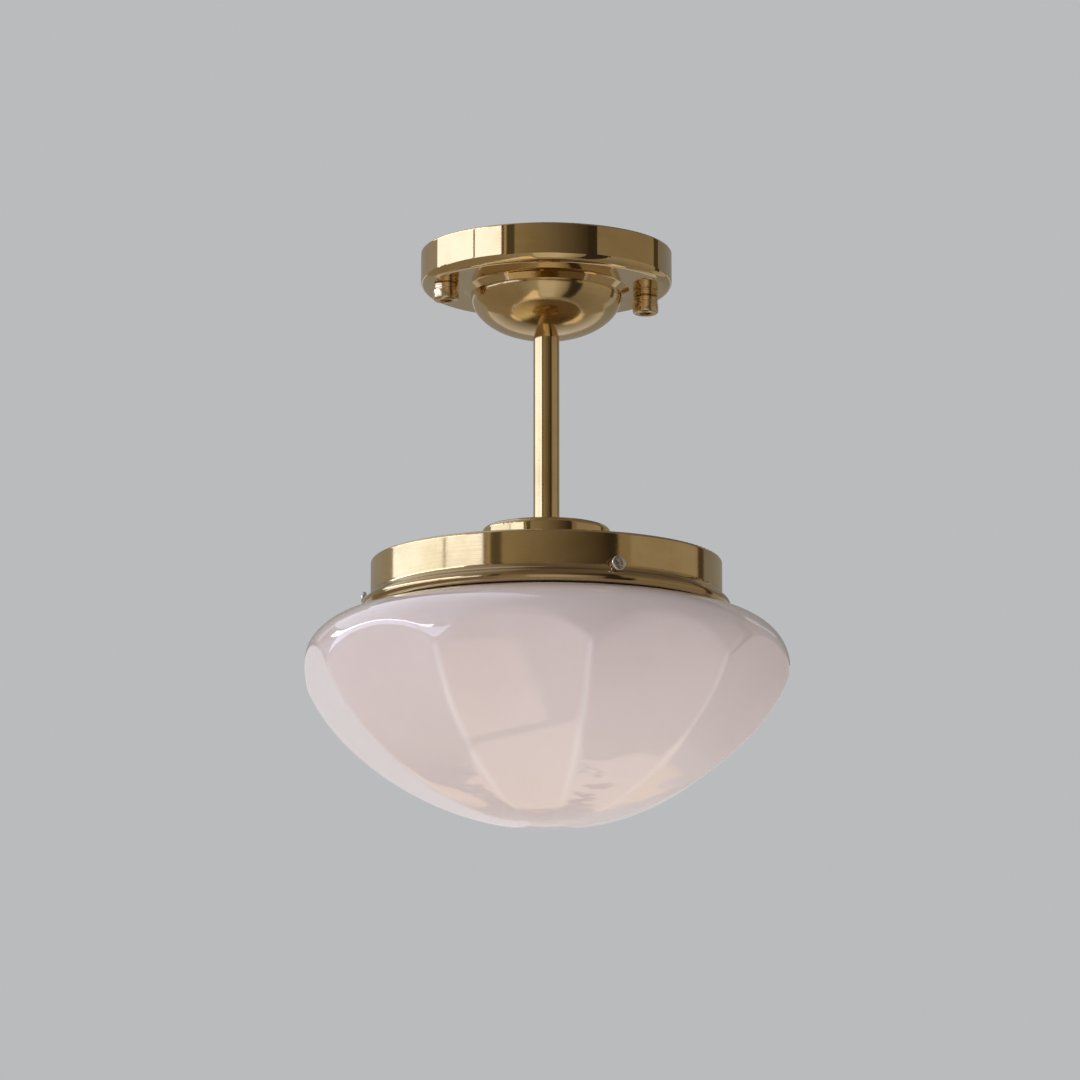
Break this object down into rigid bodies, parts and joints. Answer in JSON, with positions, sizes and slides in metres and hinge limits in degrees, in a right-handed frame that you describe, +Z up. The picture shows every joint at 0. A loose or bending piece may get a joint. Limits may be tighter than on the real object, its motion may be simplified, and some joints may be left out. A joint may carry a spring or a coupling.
{
  "type": "ceiling light",
  "caption": "Short-stem brass ceiling light: drum canopy with round nuts, bowl dome, stem, stepped fitter with side screws, and a panelled opal glass shade over a screw-in bulb.",
  "frame": {"origin": "centre of the canopy's open rim, in the ceiling plane, midway between the bracket's two slots", "axes": "+Z up into the ceiling, along the stem; X along the bracket, through the slots and the two canopy nuts"},
  "size_m": [0.2284, 0.23, 0.2782],
  "materials": {
    "polished_brass": "polished, lightly aged",
    "brushed_brass": "brushed along the turn, lightly aged",
    "turned_brass": "turned",
    "opal_glass": "glossy blush-pink opal glass",
    "bright_steel": "bright plated steel",
    "zinc_steel": "zinc plated steel",
    "black_plastic": "moulded heat-resistant plastic",
    "insert_ceramic": "unglazed ceramic",
    "white_nylon": "moulded nylon",
    "clear_silicone": "soft silicone",
    "brown_insulation": "silicone insulation",
    "blue_insulation": "silicone insulation",
    "earth_insulation": "green and yellow insulation",
    "nickel_cap": "nickel plated sheet",
    "bulb_plastic": "moulded white plastic",
    "bulb_diffuser": "frosted white diffuser"
  },
  "bodies": {
    "root": {"mounting_bracket": "zinc_steel", "bracket_studs": "zinc_steel", "stud_locknuts": "zinc_steel", "earth_screw": "zinc_steel", "earth_lugs": "zinc_steel", "earth_lead": "earth_insulation", "terminal_block": "white_nylon", "terminal_clamps": "turned_brass", "clamp_screws": "zinc_steel", "block_screw": "zinc_steel", "canopy": "polished_brass", "canopy_dome": "polished_brass", "stem_tube": "polished_brass", "top_nipple": "zinc_steel", "top_washer": "zinc_steel", "top_locknut": "zinc_steel", "bottom_nipple": "zinc_steel", "bottom_washer": "zinc_steel", "bottom_locknut": "zinc_steel", "live_lead": "brown_insulation", "neutral_lead": "blue_insulation", "fitter": "brushed_brass", "screw_bushes": "turned_brass", "lampholder_cap": "black_plastic", "lampholder_skirt": "black_plastic", "lampholder_insert": "insert_ceramic", "lampholder_screws": "zinc_steel", "lampholder_shell": "nickel_cap", "centre_contact": "turned_brass"},
    "shade": {"glass_shade": "opal_glass"},
    "bulb": {"bulb_contact": "nickel_cap", "bulb_insulator": "black_plastic", "bulb_cap": "nickel_cap", "bulb_body": "bulb_plastic", "bulb_globe": "bulb_diffuser"},
    "tip_1": {"screw_tip_1": "clear_silicone"},
    "screw_1": {"side_screw_1": "bright_steel"},
    "tip_2": {"screw_tip_2": "clear_silicone"},
    "screw_2": {"side_screw_2": "bright_steel"},
    "tip_3": {"screw_tip_3": "clear_silicone"},
    "screw_3": {"side_screw_3": "bright_steel"},
    "collar_left": {"nut_collar_left": "turned_brass"},
    "nut_left": {"canopy_nut_left": "turned_brass"},
    "collar_right": {"nut_collar_right": "turned_brass"},
    "nut_right": {"canopy_nut_right": "turned_brass"}
  },
  "joints": [
    {"name": "shade_drop", "type": "slide", "parent": "root", "child": "shade", "axis": [0, 0, -1], "range_m": [0, 0.12]},
    {"name": "bulb_out", "type": "slide", "parent": "root", "child": "bulb", "axis": [0, 0, -1], "range_m": [0, 0.02]},
    {"name": "tip_1_slide", "type": "slide", "parent": "root", "child": "tip_1", "axis": [0.1167, -0.9932, 0], "range_m": [0, 0.0024]},
    {"name": "screw_1_turn", "type": "hinge", "parent": "tip_1", "child": "screw_1", "pos_m": [0.0098, -0.08343, -0.16648], "axis": [0.1167, -0.9932, 0], "range_deg": [0, 1240]},
    {"name": "tip_2_slide", "type": "slide", "parent": "root", "child": "tip_2", "axis": [0.8018, 0.5976, 0], "range_m": [0, 0.0024]},
    {"name": "screw_2_turn", "type": "hinge", "parent": "tip_2", "child": "screw_2", "pos_m": [0.06735, 0.0502, -0.16648], "axis": [0.8018, 0.5976, 0], "range_deg": [0, 1240]},
    {"name": "tip_3_slide", "type": "slide", "parent": "root", "child": "tip_3", "axis": [-0.9184, 0.3955, 0], "range_m": [0, 0.0024]},
    {"name": "screw_3_turn", "type": "hinge", "parent": "tip_3", "child": "screw_3", "pos_m": [-0.07715, 0.03323, -0.16648], "axis": [-0.9184, 0.3955, 0], "range_deg": [0, 1240]},
    {"name": "collar_left_slide", "type": "slide", "parent": "root", "child": "collar_left", "axis": [0, 0, -1], "range_m": [0, 0.0042]},
    {"name": "nut_left_turn", "type": "hinge", "parent": "collar_left", "child": "nut_left", "pos_m": [-0.0495, 0, -0.024], "axis": [0, 0, -1], "range_deg": [0, 2165]},
    {"name": "collar_right_slide", "type": "slide", "parent": "root", "child": "collar_right", "axis": [0, 0, -1], "range_m": [0, 0.0042]},
    {"name": "nut_right_turn", "type": "hinge", "parent": "collar_right", "child": "nut_right", "pos_m": [0.0495, 0, -0.024], "axis": [0, 0, -1], "range_deg": [0, 2165]}
  ],
  "couplings": [
    {"joint": "screw_1_turn", "follows": "tip_1_slide", "rad_per_m": 8976},
    {"joint": "screw_2_turn", "follows": "tip_2_slide", "rad_per_m": 8976},
    {"joint": "screw_3_turn", "follows": "tip_3_slide", "rad_per_m": 8976},
    {"joint": "nut_left_turn", "follows": "collar_left_slide", "rad_per_m": 8976},
    {"joint": "nut_right_turn", "follows": "collar_right_slide", "rad_per_m": 8976}
  ]
}
